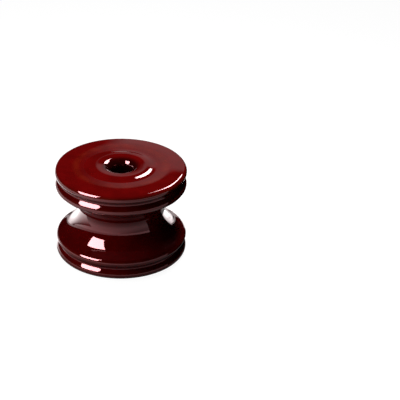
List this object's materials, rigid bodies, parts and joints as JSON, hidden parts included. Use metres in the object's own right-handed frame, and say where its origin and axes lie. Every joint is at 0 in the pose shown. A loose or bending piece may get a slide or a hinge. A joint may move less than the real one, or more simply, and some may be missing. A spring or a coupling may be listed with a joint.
{
  "type": "spool insulator",
  "caption": "Waisted porcelain spool with a wire groove round its neck, ridged flanges and a through bore for a clevis bolt.",
  "frame": {"origin": "centre of the box's bottom face, on the bore's axis at the lower boss face", "axes": "+Z along the bore, from the lower boss face to the upper one"},
  "size_m": [0.1048, 0.1048, 0.0762],
  "materials": {
    "brown_glaze": "high-gloss dark red-brown glaze over porcelain"
  },
  "bodies": {
    "root": {"porcelain_spool": "brown_glaze"}
  },
  "joints": []
}
